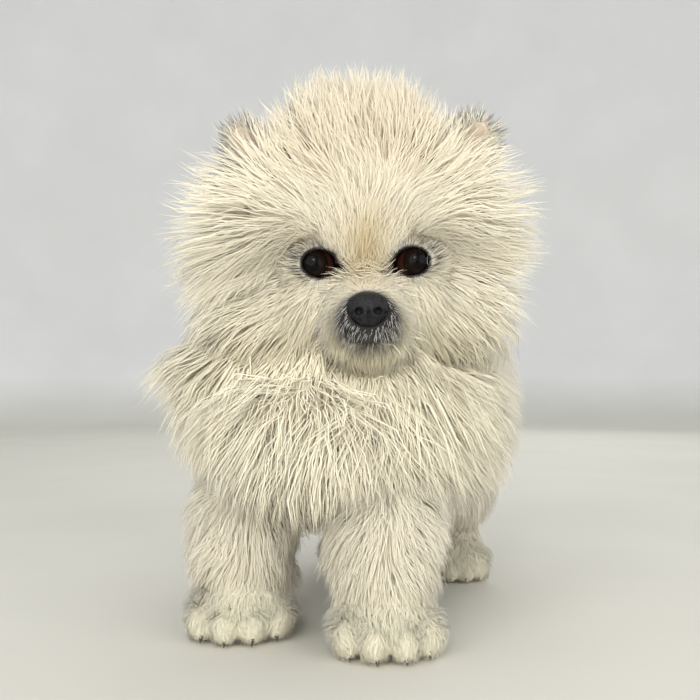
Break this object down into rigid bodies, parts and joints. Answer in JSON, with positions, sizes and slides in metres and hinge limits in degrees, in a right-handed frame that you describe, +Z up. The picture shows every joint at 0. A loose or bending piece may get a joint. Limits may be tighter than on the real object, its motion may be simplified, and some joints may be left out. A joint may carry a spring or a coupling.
{
  "type": "pomeranian puppy",
  "caption": "Young long-coated toy dog, life size, standing square on a flat floor with its body turned and its face to the viewer; a still display model.",
  "frame": {"origin": "floor level, under the middle of the whole animal's bounding box", "axes": "+Z up; the face looks along -Y towards the viewer; the animal's own left is towards +X; the trunk is turned 22.5 degrees, so its rump lies towards +X"},
  "size_m": [0.1746, 0.2012, 0.227],
  "materials": {
    "coat": "long soft cream hair",
    "eye": "wet, near-black",
    "nose": "damp, finely pebbled",
    "claw": "smooth dark horn"
  },
  "bodies": {
    "root": {"head": "coat", "ear_left": "coat", "ear_right": "coat", "neck": "coat", "torso": "coat", "tail": "coat", "front_leg_left": "coat", "front_leg_right": "coat", "hind_leg_left": "coat", "hind_leg_right": "coat", "front_paw_left": "coat", "front_paw_right": "coat", "hind_paw_left": "coat", "hind_paw_right": "coat", "front_claw_left_1": "claw", "front_claw_left_2": "claw", "front_claw_left_3": "claw", "front_claw_left_4": "claw", "front_claw_right_1": "claw", "front_claw_right_2": "claw", "front_claw_right_3": "claw", "front_claw_right_4": "claw", "hind_claw_left_1": "claw", "hind_claw_left_2": "claw", "hind_claw_left_3": "claw", "hind_claw_left_4": "claw", "hind_claw_right_1": "claw", "hind_claw_right_2": "claw", "hind_claw_right_3": "claw", "hind_claw_right_4": "claw", "eye_left": "eye", "eye_right": "eye", "nose": "nose"}
  },
  "joints": []
}
